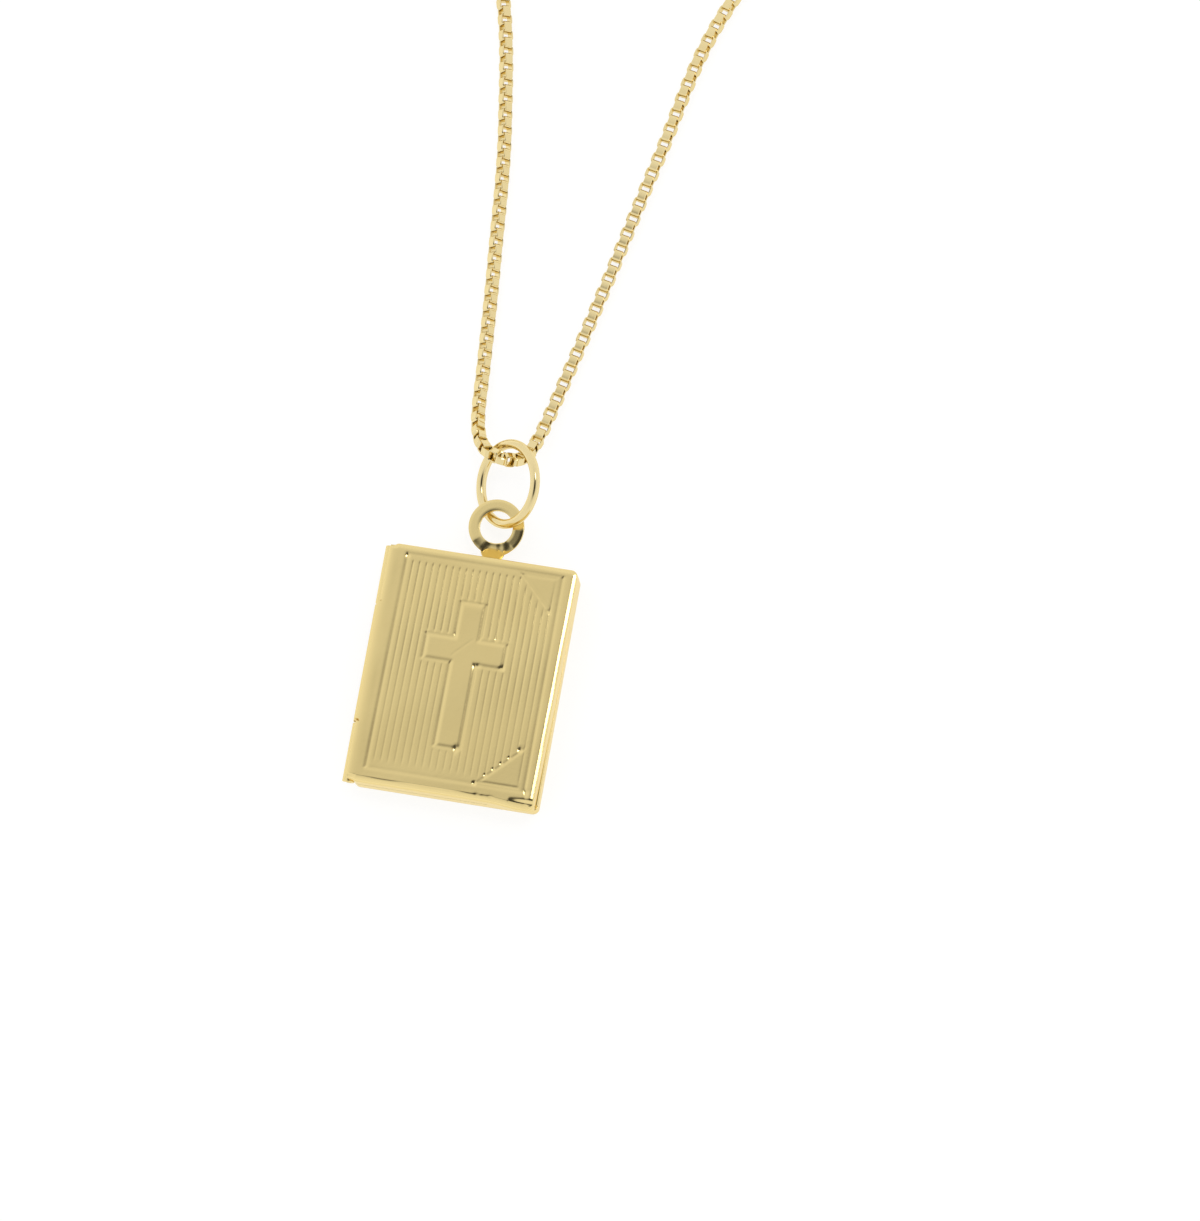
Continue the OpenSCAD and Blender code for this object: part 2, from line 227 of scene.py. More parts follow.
def set_light():
    """A white light tent that darkens towards the opening for the lens, and one small bright softbox."""
    world = bpy.data.worlds.new("light_tent")
    world.use_nodes = True
    tree = world.node_tree
    way = add_node(tree, "ShaderNodeTexCoord").outputs["Generated"]
    near = add_node(tree, "ShaderNodeVectorMath", [(0, way), (1, OPENING)], operation="DOT_PRODUCT")
    links = [("Value", near.outputs["Value"]), ("From Min", TENT_FROM), ("From Max", 1.0)]
    span = add_node(tree, "ShaderNodeMapRange", links)
    ramp = add_node(tree, "ShaderNodeValToRGB", [("Fac", span.outputs[0])])
    stops = ramp.color_ramp.elements
    stops[0].position, stops[1].position = tent_place(TENT[0][0]), tent_place(TENT[-1][0])
    for angle, level in TENT[1:-1]:
        stops.new(tent_place(angle))
    for stop, (angle, level) in zip(stops, TENT):
        stop.position = tent_place(angle)
        stop.color = (level, level, level, 1.0)
    tree.links.new(ramp.outputs["Color"], tree.nodes["Background"].inputs["Color"])
    bpy.context.scene.world = world
    softbox("bright_softbox", BRIGHT_WAY, BRIGHT_ANGLE, BRIGHT_RADIANCE)
    bpy.context.scene.view_settings.view_transform = "Standard"


def set_floor():
    """A plain white light table."""
    bpy.ops.mesh.primitive_plane_add(size=4.0, location=(0, 0.1, 0))
    floor = bpy.context.object
    floor.name = "white_table"
    acrylic = material("white acrylic, lit from below", "#808080", 0.0, 0.6, TABLE_GLOW)
    floor.data.materials.append(acrylic)
    bpy.ops.object.select_all(action="DESELECT")


# Materials. The scales of the noise are per metre.

DRIFT_SCALE, WIPE_SCALE = 220.0, 900.0


def linear(hex_code):
    """An sRGB hex colour as linear light."""
    parts = [int(hex_code[i:i + 2], 16) / 255 for i in (1, 3, 5)]
    return tuple(c / 12.92 if c <= 0.04045 else ((c + 0.055) / 1.055) ** 2.4 for c in parts) + (1.0,)


def add_node(tree, kind, links=(), **settings):
    """A node with its settings, its inputs set or linked by name."""
    node = tree.nodes.new(kind)
    for name, value in settings.items():
        setattr(node, name, value)
    for socket, value in links:
        if hasattr(value, "is_output"):
            tree.links.new(value, node.inputs[socket])
        else:
            node.inputs[socket].default_value = value
    return node


def noise(tree, place, scale, detail):
    """Procedural noise over the piece's own coordinates."""
    links = [("Vector", place), ("Scale", scale), ("Detail", detail)]
    return add_node(tree, "ShaderNodeTexNoise", links).outputs[0]


def material(name, colour, metallic=1.0, roughness=0.2, glow=0.0):
    """A plain finish: one colour on the shader's own sockets."""
    finish = bpy.data.materials.new(name)
    finish.use_nodes = True
    shader = finish.node_tree.nodes["Principled BSDF"]
    shader.inputs["Base Color"].default_value = linear(colour)
    shader.inputs["Metallic"].default_value = metallic
    shader.inputs["Roughness"].default_value = roughness
    if metallic:
        shader.inputs["Specular Tint"].default_value = GRAZING_TINT
    if glow:
        shader.inputs["Emission Color"].default_value = (1.0, 1.0, 1.0, 1.0)
        shader.inputs["Emission Strength"].default_value = glow
    return finish


def polished_gold(name, colour, deep, roughness, grain, orange_peel):
    """Gold-filled brass: colour drifts a little, the polish is uneven, and the sheet keeps a faint grain."""
    finish = material(name, colour, 1.0, roughness)
    tree = finish.node_tree
    shader = tree.nodes["Principled BSDF"]
    place = add_node(tree, "ShaderNodeTexCoord").outputs["Object"]
    colours = [(0, noise(tree, place, DRIFT_SCALE, 2.0)), (6, linear(colour)), (7, linear(deep))]
    tint = add_node(tree, "ShaderNodeMix", colours, data_type="RGBA")
    tree.links.new(tint.outputs[2], shader.inputs["Base Color"])
    wipe = noise(tree, place, WIPE_SCALE, 3.0)
    span = [("Value", wipe), ("To Min", roughness * 0.8), ("To Max", roughness * 1.25)]
    rough = add_node(tree, "ShaderNodeMapRange", span)
    tree.links.new(rough.outputs[0], shader.inputs["Roughness"])
    fine = noise(tree, place, 1.0 / (grain * MM), 2.0)
    skin = [("Height", fine), ("Strength", orange_peel), ("Distance", 0.01 * MM)]
    bump = add_node(tree, "ShaderNodeBump", skin)
    tree.links.new(bump.outputs[0], shader.inputs["Normal"])
    return finish


# Making and finishing pieces

def finish_piece(obj, name, body, slot, finish, node):
    """Scales a piece to metres, names it and puts it in the place of its node."""
    obj.data.transform(Matrix.Scale(MM, 4))
    obj.name = obj.data.name = name
    obj.data.materials.clear()
    obj.data.materials.append(finish)
    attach(obj, body)
    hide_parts(node)
    bpy.ops.object.select_all(action="DESELECT")


def only(obj):
    """Makes an object the only one selected, and active."""
    bpy.ops.object.select_all(action="DESELECT")
    obj.select_set(True)
    bpy.context.view_layer.objects.active = obj


def joined(pieces):
    """Several objects as one mesh."""
    only(pieces[0])
    for piece in pieces:
        piece.select_set(True)
    bpy.ops.object.join()
    return bpy.context.object


def apply_modifier(obj, kind, **settings):
    """Adds a modifier and applies it at once."""
    only(obj)
    modifier = obj.modifiers.new(kind.lower(), kind)
    for name, value in settings.items():
        setattr(modifier, name, value)
    bpy.ops.object.modifier_apply(modifier=modifier.name)


def bevel(obj, width, segments, sharp=50):
    """Rounds the edges that are sharper than an angle."""
    settings = {"limit_method": "ANGLE", "angle_limit": radians(sharp)}
    apply_modifier(obj, "BEVEL", width=width, segments=segments, **settings)


def delete_faces(obj, chosen):
    """Deletes the faces that a test chooses."""
    only(obj)
    bpy.ops.object.mode_set(mode="EDIT")
    bpy.ops.mesh.select_mode(type="FACE")
    bpy.ops.mesh.select_all(action="DESELECT")
    bpy.ops.object.mode_set(mode="OBJECT")
    for face in obj.data.polygons:
        face.select = chosen(face)
    bpy.ops.object.mode_set(mode="EDIT")
    bpy.ops.mesh.delete(type="FACE")
    bpy.ops.object.mode_set(mode="OBJECT")


def smooth(obj, angle):
    """Shades an object smooth, with edges sharper than the angle kept."""
    only(obj)
    bpy.ops.object.shade_smooth_by_angle(angle=radians(angle))


# Curves that shape the sheet

def smooth_step(t):
    """Rises softly from 0 to 1."""
    t = np.clip(t, 0.0, 1.0)
    return t * t * (3 - 2 * t)


def rise(value, start, width):
    """0 up to the start, and softly up to 1 over a width."""
    return smooth_step((value - start) / width)


def fall(value, end, width):
    """Softly down to 0 at the end over a width, and 1 before it."""
    return smooth_step((end - value) / width)


def hill(t):
    """Falls softly from 1 in the middle to 0 at 1."""
    return np.cos(np.clip(t, 0, 1) * pi / 2) ** 2


# Sections over the covers' edges

def edge_sections():
    """Two sections from the flat middle over the edge and down the wall, as places out and down.

    The first is a plain round shoulder that starts a little sharper. The second, on the catch side and the
    top, slopes before it turns down, so that it shows as a bright band.
    """
    start = radians(START_TURN)
    bend_x, bend_d = START_R * sin(start), START_R * (1 - cos(start))
    rest_x = (CORNER_R - STRIP - bend_x) / (1 - sin(start))
    rest_d = (SHOULDER_R - bend_d) / cos(start)
    plain = [(x, 0.0) for x in np.linspace(0, STRIP, 6)]
    for turn in EDGE_TURNS:
        a = np.radians(turn)
        if turn <= START_TURN:
            plain.append((STRIP + START_R * sin(a), START_R * (1 - cos(a))))
        else:
            out, down = rest_x * (sin(a) - sin(start)), rest_d * (cos(start) - cos(a))
            plain.append((STRIP + bend_x + out, bend_d + down))
    wall = [(CORNER_R, d) for d in np.linspace(SHOULDER_R, HALF_T, 5)[1:]]
    return np.array(plain + wall), np.array(SLOPE + wall)


# Steps over the edge: all of them, those before the wall, and those that the relief still reaches
PLAIN, SLOPED = edge_sections()
FLANGE = len(PLAIN) - 1
WALL_FROM = FLANGE - 4
RELIEF_STEPS = 8


def folded(start, steps):
    """A line of points from a start outwards, by the length of each step and its slope down in degrees."""
    points = [np.array(start, float)]
    for length, slope in steps:
        points.append(points[-1] + length * np.array((-cos(radians(slope)), -sin(radians(slope)))))
    return np.array(points)


def evenly(points):
    """As many places along a line of points as the flange has, equally far apart."""
    length = np.concatenate([[0], np.cumsum(np.hypot(*np.diff(points, axis=0).T))])
    at = np.linspace(0, length[-1], FLANGE + 1)
    return np.stack([np.interp(at, length, points[:, c]) for c in (0, 1)], 1)


def arc(centre, radius, start, end, count):
    """Points on an arc."""
    return [centre + radius * np.array((cos(a), sin(a))) for a in np.linspace(start, end, count)]


def hinge_sections(front):
    """Sections of the hinge side from the flat middle outwards: at the cover's own knuckle and its partner's.

    The front cover stays flat nearly to its edge and then turns down. Over its partner's knuckles it ends in
    a short lip. The back cover slopes into its own knuckles and is notched for its partner's.
    """
    edge = (LEFT + CORNER_R, HALF_T)
    if front:
        return folded(edge, OWN_FOLD), folded(edge, LIP_FOLD)
    shoulder = np.array((LEFT + SHOULDER_R, HALF_T - SHOULDER_R))
    pin = np.array((AXIS_X, -RIM_GAP / 2))
    lean = np.array((pin[1] - shoulder[1], shoulder[0] - pin[0])) / np.hypot(*(pin - shoulder))
    tangent = atan2(lean[1], lean[0])
    bend = arc(shoulder, SHOULDER_R, pi / 2, tangent, 30)
    roll = arc(pin, KNUCKLE_R, tangent, radians(165), 10)
    wall = [(LEFT, h) for h in np.linspace(HALF_T - SHOULDER_R, NOTCH, 10)]
    notched = arc(shoulder, SHOULDER_R, pi / 2, pi, 20) + wall[1:]
    return evenly(np.array([edge] + bend + roll)), evenly(np.array([edge] + notched))


# Places of the sheet's points

# Columns in each rib as shares of its width, and beside the frame as distances from it
RIB_SHARES = (0, 0.08, 0.17, 0.3, 0.5, 0.7, 0.83, 0.92)
LEFT_GAPS, RIGHT_GAPS = (0.5, 0.37, 0.25, 0.16, 0.08), (0, 0.08, 0.16, 0.25)

# Stretches of the sheet from its lower to its upper edge: where each ends, and the largest step in it
EDGE_Y = COVER_L / 2 - CORNER_R
ROW_SPANS = [(-5.3, 0.085), (0.6, 0.32), (3.4, 0.1), (5.8, 0.25), (EDGE_Y, 0.09)]


def columns(right):
    """Places across the sheet: eight to a rib, close together in the valley, and more at the frame."""
    pitch = PANEL_W / RIBS
    edge = PANEL_W / 2
    middle = [-edge + (i + share) * pitch for i in range(RIBS) for share in RIB_SHARES]
    left = [LEFT + CORNER_R - PANEL_X] + [-edge - gap for gap in LEFT_GAPS]
    beside = [edge + gap for gap in RIGHT_GAPS]
    return np.array(left + middle + beside + [right - CORNER_R - PANEL_X]) + PANEL_X


def rows():
    """Places along the sheet: close together at the relief's ends and slants, and on both sides of a slit."""
    places = []
    low = -EDGE_Y
    for high, step in ROW_SPANS:
        count = ceil((high - low) / step)
        places += [low + (high - low) * k / count for k in range(count)]
        low = high
    places = [y for y in places + [EDGE_Y] if min(abs(y - s) for s in SLITS) > SLIT_W / 2 + 0.02]
    return np.array(sorted(places + [s + t * SLIT_W / 2 for s in SLITS for t in (-1, 1)]))


def stretch(y):
    """Number of the knuckle that a place along the hinge belongs to, from the top."""
    return np.where(y > SLITS[1], 1, np.where(y > SLITS[0], 2, 3))


# Pressed relief

def box_distance(x, y, cx, cy, half_x, half_y):
    """Signed distance to a rectangle, negative inside."""
    dx, dy = np.abs(x - cx) - half_x, np.abs(y - cy) - half_y
    return np.hypot(np.maximum(dx, 0), np.maximum(dy, 0)) + np.minimum(np.maximum(dx, dy), 0)


def frame_edge(x, y):
    """Signed distance to the panel's frame."""
    return box_distance(x, y, 0, PANEL_UP, PANEL_W / 2, PANEL_L / 2)


def cross_edge(x, y):
    """Signed distance to the cross."""
    upright_half = (CROSS_TOP - CROSS_FOOT) / 2
    upright = box_distance(x, y, CROSS_X, (CROSS_FOOT + CROSS_TOP) / 2, ARM_W / 2, upright_half)
    return np.minimum(upright, box_distance(x, y, CROSS_X, BAR_Y, BAR_L / 2, ARM_W / 2))


def upper_triangle_edge(x, y):
    """Signed distance to the upper triangle."""
    top = y - PANEL_UP - PANEL_L / 2 + TRI_END
    return np.max([x - TRI_X, top, (UPPER_SLANT + TRI_MARGIN - x - y) / sqrt(2)], axis=0)


def lower_triangle_edge(x, y):
    """Signed distance to the lower triangle."""
    foot = PANEL_UP - PANEL_L / 2 + TRI_END - y
    return np.max([x - TRI_X, foot, (y - x - LOWER_SLANT + TRI_MARGIN) / sqrt(2)], axis=0)


# Each triangle's share of the line's depth across the sheet and at a slant to it
TRIANGLES = [(upper_triangle_edge, 0.15, 0.8), (lower_triangle_edge, 0.55, 0.0)]


def pressed_line(edge, x, y, offset, depth, half, lengthways=1.0, crossways=0.28, slanting=0.0):
    """A soft pressed line beside a figure's edge, with its shares of the depth along, across and slanting."""
    step = 0.02
    across = np.abs(edge(x, y + step) - edge(x, y - step)) / (2 * step)
    share = lengthways + (crossways - lengthways) * across + slanting * 4 * across ** 2 * (1 - across ** 2)
    return depth * share * hill(np.abs(edge(x, y) - offset) / half)


def valley_spans(figures):
    """For each valley between ribs, two stretches: its ends, and how softly each fades."""
    top = PANEL_UP + PANEL_L / 2 - RIB_END
    low = PANEL_UP - PANEL_L / 2 + RIB_END
    spans = []
    for i in range(RIBS + 1):
        x = -PANEL_W / 2 + i * PANEL_W / RIBS
        foot, foot_soft, head, head_soft = low, FOOT_SOFT, top, HEAD_SOFT
        if figures and i == RIBS - 1:
            head_soft = LAST_HEAD_SOFT
        if figures and x < TRI_X:
            if UPPER_SLANT - x < top:
                head, head_soft = UPPER_SLANT - x - TRI_GAP, UPPER_SOFT
            if LOWER_SLANT + x > low:
                foot, foot_soft = LOWER_SLANT + x + TRI_GAP, LOWER_SOFT
        pieces = [(foot, head, foot_soft, head_soft)] * 2
        cut = None
        if figures and abs(x - CROSS_X) < ARM_W / 2 + BESIDE_GAP:
            cut = (CROSS_FOOT, CROSS_TOP)
        elif figures and abs(x - CROSS_X) < BAR_L / 2 + BESIDE_GAP:
            cut = (BAR_Y - ARM_W / 2, BAR_Y + ARM_W / 2)
        if cut:
            below = (foot, cut[0] - BELOW_GAP, foot_soft, BELOW_SOFT)
            pieces = [below, (cut[1] + ABOVE_GAP, head, ABOVE_SOFT, head_soft)]
        spans.append(pieces)
    return np.array(spans)


def rib_depth(x, y, inside, figures):
    """Depth of the valleys and the ribs' rounded flanks."""
    pitch = PANEL_W / RIBS
    nearest = np.clip(np.rint((x + PANEL_W / 2) / pitch).astype(int), 1, RIBS - 1)
    across = np.abs(x - (-PANEL_W / 2 + nearest * pitch))
    spans = valley_spans(figures)[nearest]
    stretches = []
    for k in (0, 1):
        foot, head, foot_soft, head_soft = (spans[..., k, c] for c in range(4))
        stretches.append(rise(y, foot, foot_soft) * fall(y, head, head_soft))
    along = np.max(stretches, axis=0)
    valley = VALLEY_D * hill(across / VALLEY_HALF)
    crown = RIB_CROWN * (1 - np.clip(2 * across / pitch, 0, 1)) ** 2
    strength = np.interp(y, RIB_PLACES, RIB_STRENGTH) if figures else BACK_STRENGTH
    return (valley + crown) * strength * along * rise(inside, 0.05, 0.2)


def punched(depth, x, y):
    """Depth with the dots along the lower triangle added."""
    depth = depth + DOT_D * hill(np.hypot(x - DOT_AT[0], y - DOT_AT[1]) / DOT_R)
    pitch = PANEL_W / RIBS
    dots = [(-PANEL_W / 2 + i * pitch, RIB_DOT_R) for i in RIB_DOTS] + [(LAST_DOT_X, LAST_DOT_R)]
    for at_x, size in dots:
        away = np.hypot(x - at_x, y - LOWER_SLANT - at_x - DOT_UP)
        depth = depth + (DOT_SHARE * size) * hill(away / size)
    return depth


def crease_depth(x, y):
    """Depth of the fine slanting crease on the middle of the cross."""
    away = np.abs((x - y) - (CROSS_X - BAR_Y - CREASE_LOW)) / sqrt(2)
    outside = box_distance(x, y, CROSS_X, BAR_Y, ARM_W / 2, ARM_W / 2)
    return CREASE_D * fall(outside, 0.1, 0.2) * hill(away / CREASE_HALF)


def waves(x, y):
    """Height of the soft unevenness of the thin sheet."""
    long_waves = np.sin(0.9 * x + 0.5 * y + 1.0) + np.sin(0.8 * y - 0.5 * x + 2.2)
    return 0.004 * (long_waves + 0.6 * np.sin(1.7 * x + 1.3 * y))


def relief(x, y, figures):
    """Height of the pressed face over its border."""
    x = x - PANEL_X
    inside = -frame_edge(x, y)
    scoop = np.ones_like(x)
    for at_x, at_y, radius, gain in FRONT_SCOOPS if figures else BACK_SCOOPS:
        scoop = scoop + gain * np.exp(-((x - at_x) ** 2 + (y - at_y) ** 2) / radius ** 2)
    ribs = rib_depth(x, y, inside, figures)
    lines = pressed_line(frame_edge, x, y, 0.0, LINE_D, LINE_HALF)
    raised = -PANEL_LOW * rise(inside, -0.2, 0.4)
    if figures:
        cross = cross_edge(x, y)
        ribs = ribs * rise(cross, 0.02, 0.2) + crease_depth(x, y)
        lines = np.maximum(lines, pressed_line(cross_edge, x, y, -0.02, LINE_D, LINE_HALF))
        raised = raised + CROSS_H * fall(cross, -0.02, 0.3)
        for triangle, crossways, slanting in TRIANGLES:
            line = pressed_line(triangle, x, y, 0.08, TRI_LINE_D, TRI_LINE_HALF, 0.0, crossways, slanting)
            lines = np.maximum(lines, line)
            raised = raised + TRIANGLE_H * fall(triangle(x, y), 0.1, 0.25)
        lines = punched(lines, x, y)
    return raised - ribs - lines * scoop + waves(x, y) * rise(inside, -1.2, 0.8)


def dents(x, y):
    """Depth of the dents from handling, and of the worn lower corner at the opening side."""
    worn = 0.18 * rise(x, 5.5, 0.35) * np.clip(-9.32 - y, 0, 0.3)
    depth = worn + 0.14 * np.clip(x - 5.6, 0, 1.3) * fall(y, -9.22, 0.2)
    for at_x, at_y, half_x, half_y, deep in DENTS:
        depth = depth + deep * np.exp(-((x - at_x) / half_x) ** 2 - ((y - at_y) / half_y) ** 2)
    return depth


def out_of_true(x, y):
    """Places on the front, which isn't quite square: it leans at the hinge side and flares at the other."""
    lean = 0.0125 * (y - 0.5) * fall(x, 3, 9) * rise(x, LEFT + CORNER_R, 0.6)
    flare = 0.011 * y * rise(x, 6.85, 0.35)
    droop = -0.2 * rise(x, 3.5, 3) * fall(y, -8.9, 0.5)
    return x + (lean + flare), y + droop


# Pressed covers

def flat_sheet(count_x, count_y):
    """A flat grid, and the column and row of each of its points."""
    bpy.ops.mesh.primitive_grid_add(x_subdivisions=count_x - 1, y_subdivisions=count_y - 1, size=2)
    sheet = bpy.context.object
    flat = np.empty(len(sheet.data.vertices) * 3)
    sheet.data.vertices.foreach_get("co", flat)
    place = flat.reshape(-1, 3)
    column = np.rint((place[:, 0] + 1) / 2 * (count_x - 1)).astype(int)
    row = np.rint((place[:, 1] + 1) / 2 * (count_y - 1)).astype(int)
    return sheet, column, row


def split(k, middle):
    """Place on the flat middle, and signed number of steps past it over the edge."""
    last = len(middle) - 1
    over = np.where(k < FLANGE, k - FLANGE, np.maximum(0, k - FLANGE - last))
    return middle[np.clip(k - FLANGE, 0, last)], over


def corner_turns(over_x, over_y):
    """Steps past the flat middle, and the way over the edge as an angle from the sheet's width."""
    far = np.maximum(np.abs(over_x), np.abs(over_y))
    near = np.minimum(np.abs(over_x), np.abs(over_y))
    turn = np.where(far > 0, near / np.maximum(far, 1), 0) * pi / 4
    return far, np.where(np.abs(over_x) >= np.abs(over_y), turn, pi / 2 - turn)


def over_edges(edge_x, edge_y, over_x, over_y, far, turn):
    """Places of the points once the sheet turns down over its edges, and their heights over the rim."""
    slope_share = ((over_x > 0) * np.cos(turn) ** 2 + (over_y > 0) * np.sin(turn) ** 2)[:, None]
    section = PLAIN[far] * (1 - slope_share) + SLOPED[far] * slope_share
    x = edge_x + np.sign(over_x) * section[:, 0] * np.cos(turn)
    y = edge_y + np.sign(over_y) * section[:, 0] * np.sin(turn)
    return x, y, HALF_T - section[:, 1]


def cut_slits(sheet, slit_from):
    """Deletes the faces between the knuckles, outwards from a place across the sheet."""
    def between(face):
        return face.center.x < slit_from and min(abs(face.center.y - s) for s in SLITS) < SLIT_W / 3

    delete_faces(sheet, between)


def rim_weights(sheet, thin, far):
    """Weights for the sheet's thickness: less towards the rim, where it is thin."""
    group = sheet.vertex_groups.new(name="sheet")
    group.add(list(range(len(sheet.data.vertices))), 1.0, "REPLACE")
    for k in range(FLANGE // 2, FLANGE + 1):
        chosen = [int(v) for v in np.nonzero(thin & (far == k))[0]]
        group.add(chosen, 1.0 - 0.35 * (2 * k / FLANGE - 1), "REPLACE")
    return group


def pressed_cover(right, figures, own, upward, catch_drop=0.0):
    """One cover: a grid formed over the die, then given the sheet's thickness."""
    across, along = columns(right), rows()
    sheet, column, row = flat_sheet(len(across) + 2 * FLANGE, len(along) + 2 * FLANGE)
    edge_x, over_x = split(column, across)
    edge_y, over_y = split(row, along)
    far, turn = corner_turns(over_x, over_y)
    hinge_side = (over_x < 0) & (np.abs(over_x) >= np.abs(over_y))
    knuckle = np.isin(stretch(edge_y), own)
    straight = hinge_side & (over_y == 0)

    x, y, height = over_edges(edge_x, edge_y, over_x, over_y, far, turn)
    height = height + np.where(far < RELIEF_STEPS, relief(edge_x, edge_y, figures), 0)
    wall = np.clip((far - WALL_FROM) / (FLANGE - WALL_FROM), 0, 1)
    lowest = np.where(hinge_side & ~knuckle, NOTCH * (1 - np.clip(np.abs(over_y) / FLANGE, 0, 1)), 0.0)
    lowest = np.where((over_x > 0) & (over_y == 0), catch_drop, lowest)
    height = np.where(wall > 0, (HALF_T - SHOULDER_R) * (1 - wall) + lowest * wall, height)

    share = smooth_step(1.6 * np.cos(turn)) if upward else np.where(straight, 1.0, 0.0)
    reach = np.where(upward & ~knuckle & (edge_y > 0), UPPER_LIP, 1.0)
    spread = np.where(straight, 1.0, np.cos(turn) ** 0.35)
    for shape, chosen in zip(hinge_sections(upward), (hinge_side & knuckle, hinge_side & ~knuckle)):
        shape_x = edge_x + (shape[far, 0] - edge_x) * reach * spread
        x = np.where(chosen, x + (shape_x - x) * share, x)
        height = np.where(chosen, height + (shape[far, 1] - height) * share, height)
    if upward:
        height = height - np.where(wall > 0, 0, dents(x, y))
        x, y = out_of_true(x, y)
    z = RIM_Z + (RIM_GAP / 2 + height) * (1 if upward else -1)
    sheet.data.vertices.foreach_set("co", np.stack([x, y, z], 1).ravel())

    group = rim_weights(sheet, straight if upward else straight & knuckle, far)
    cut_slits(sheet, LEFT - 0.1 if upward else LEFT + CORNER_R - 0.02)
    if not upward:
        sheet.data.flip_normals()
    apply_modifier(sheet, "SOLIDIFY", thickness=SHEET, offset=-1.0, vertex_group=group.name)
    smooth(sheet, 50)
    return sheet


def catch_hem():
    """The back cover's opening edge, folded inwards so that it stands out past the front cover as a ledge."""
    bpy.ops.mesh.primitive_cube_add(size=1)
    hem = bpy.context.object
    low = Vector((BACK_RIGHT - HEM_W, -HEM_HALF_L, HEM_LOW))
    high = Vector((BACK_RIGHT - HEM_INSET, HEM_HALF_L, RIM_Z - RIM_GAP / 2))
    hem.data.transform(Matrix.Translation((low + high) / 2) @ Matrix.Diagonal((*(high - low), 1)))
    bevel(hem, 0.1, 4)
    smooth(hem, 50)
    return hem


# Hinge

def rolled_knuckle(n, upward):
    """Strip of the sheet rolled round the pin, from where the cover's flow reaches it."""
    mid_r = (KNUCKLE_R + BORE_R) / 2
    steps = 24
    turns = [radians(150 + 325 * k / steps) for k in range(steps + 1)]
    outline = [Vector((AXIS_X + mid_r * cos(a), mid_r * sin(a) - RIM_GAP / 2)) for a in turns]
    ends = (COVER_L / 2, SLITS[1], SLITS[0], -COVER_L / 2)
    length = ends[n - 1] - ends[n] - KNUCKLE_GAP
    middle = (ends[n - 1] + ends[n]) / 2
    bpy.ops.mesh.primitive_grid_add(x_subdivisions=steps, y_subdivisions=1, size=2)
    roll = bpy.context.object
    for vertex in roll.data.vertices:
        p = outline[round((vertex.co.x + 1) / 2 * steps)]
        side = 1 if vertex.co.y > 0 else -1
        height = RIM_Z + (RIM_GAP / 2 + p.y) * (1 if upward else -1)
        vertex.co = (p.x, middle + side * length / 2, height)
    apply_modifier(roll, "SOLIDIFY", thickness=KNUCKLE_R - BORE_R, offset=0.0)
    bevel(roll, 0.05, 3)
    smooth(roll, 45)
    return roll


def knuckles(numbers, upward):
    """One cover's knuckles."""
    return joined([rolled_knuckle(n, upward) for n in numbers])


def hinge_pin():
    """The straight pin through the knuckles."""
    size = {"vertices": 32, "radius": PIN_R, "depth": COVER_L - PIN_SHORT}
    bpy.ops.mesh.primitive_cylinder_add(location=(AXIS_X, 0, RIM_Z), rotation=(pi / 2, 0, 0), **size)
    pin = bpy.context.object
    bpy.ops.object.transform_apply(location=True, rotation=True, scale=True)
    bevel(pin, 0.03, 2)
    smooth(pin, 60)
    return pin


# Tab and rings

def tab_height(x, y):
    """The tab's ring lies nearly level and droops on its right; the stem bends down steeply to the wall."""
    dx, dy = x - TAB_X, y - TAB_Y
    low, stem = np.clip(-RING_BEND - dy, 0, 2), np.clip(-STEM_BEND - dy, 0, 2)
    middle = fall(abs(dx), 1.15, 0.9)
    drop = RING_DROP * low * (1 - middle) + STEM_DROP * stem ** 2 / (stem + 0.3) * middle
    droop = RIGHT_DROP * rise(dx, 0.3, 0.8) * np.clip(0.05 - dy, 0, 2)
    return float(TAB_Z - drop - droop)


def tab_ring():
    """A flat ring with a strip extruded from its lower edge, and the half width of that strip."""
    outline = {"vertices": 72, "radius": TAB_R, "fill_type": "NOTHING"}
    bpy.ops.mesh.primitive_circle_add(location=(TAB_X, TAB_Y, 0), **outline)
    plate = bpy.context.object
    bpy.ops.object.transform_apply(location=True)
    bpy.ops.object.mode_set(mode="EDIT")
    bpy.ops.mesh.select_all(action="SELECT")
    bpy.ops.mesh.extrude_edges_move()
    shrink = TAB_HOLE_R / TAB_R
    bpy.ops.transform.resize(value=(shrink, shrink, 1), center_override=(TAB_X, TAB_Y, 0))
    bpy.ops.mesh.select_all(action="DESELECT")
    bpy.ops.object.mode_set(mode="OBJECT")
    points = plate.data.vertices
    for point in points:
        outer = hypot(point.co.x - TAB_X, point.co.y - TAB_Y) > (TAB_R + TAB_HOLE_R) / 2
        point.select = outer and abs(point.co.x - TAB_X) < STEM_W / 2 + STEM_FLARE and point.co.y < TAB_Y
    for edge in plate.data.edges:
        edge.select = all(points[v].select for v in edge.vertices)
    widest = max(abs(point.co.x - TAB_X) for point in points if point.select)
    bpy.ops.object.mode_set(mode="EDIT")
    bpy.ops.mesh.select_mode(type="EDGE")
    for step in range(STEM_STEPS):
        bpy.ops.mesh.extrude_edges_move(TRANSFORM_OT_translate={"value": (0, -STEM_L / STEM_STEPS, 0)})
    bpy.ops.object.mode_set(mode="OBJECT")
    return plate, widest


